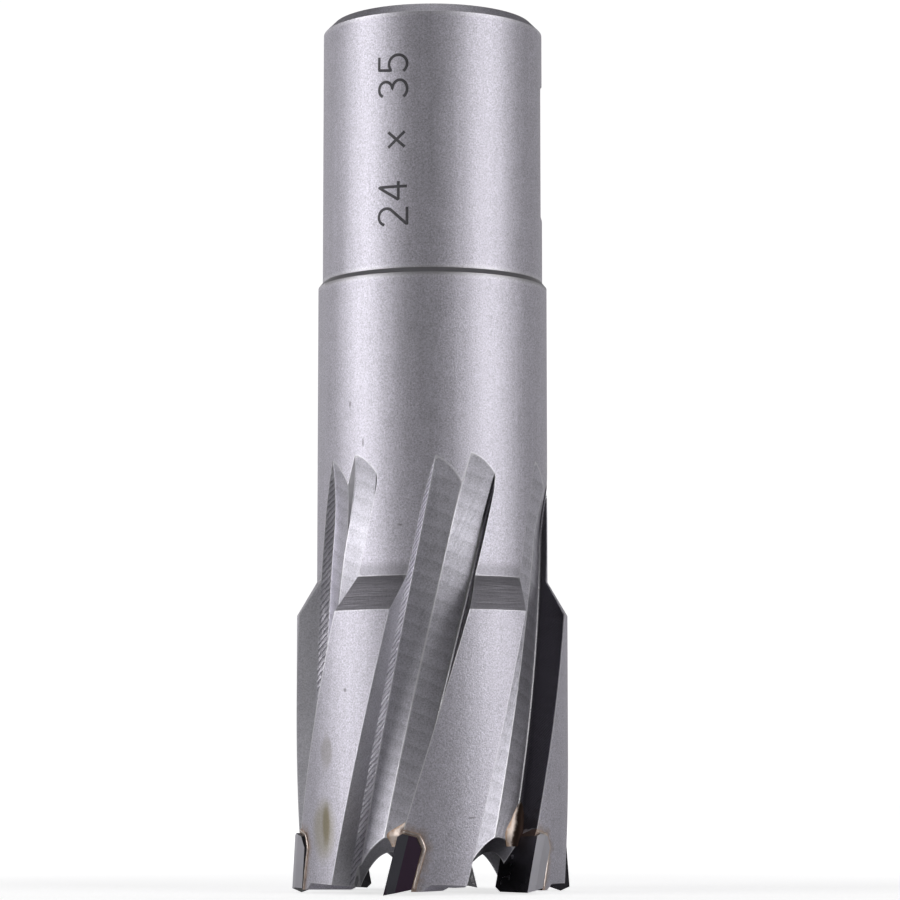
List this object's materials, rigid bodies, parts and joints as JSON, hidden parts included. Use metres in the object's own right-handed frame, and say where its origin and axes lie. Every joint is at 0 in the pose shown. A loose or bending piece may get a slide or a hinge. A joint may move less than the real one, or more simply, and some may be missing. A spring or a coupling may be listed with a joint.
{
  "type": "annular cutter",
  "caption": "Hollow cutter for holes in metal plate: clamping shank with flats, bore for an ejector pin, helical flutes and brazed carbide tips round an open core.",
  "frame": {"origin": "bottom centre: on the tool's axis, in the plane its cutting tips stand on", "axes": "+Z along the axis from the cutting tips to the shank, +X the outward direction of the first clamping flat, +Y that of the second"},
  "size_m": [0.0242, 0.0232, 0.075],
  "materials": {
    "tool_steel": "satin, bead-blasted and finely ground",
    "carbide": "fine ground, dark grey",
    "braze": "as flowed, satin"
  },
  "bodies": {
    "root": {"cutter_body": "tool_steel", "carbide_tip_1": "carbide", "carbide_tip_2": "carbide", "carbide_tip_3": "carbide", "carbide_tip_4": "carbide", "carbide_tip_5": "carbide", "carbide_tip_6": "carbide", "braze_seam_1": "braze", "braze_seam_2": "braze", "braze_seam_3": "braze", "braze_seam_4": "braze", "braze_seam_5": "braze", "braze_seam_6": "braze"}
  },
  "joints": []
}
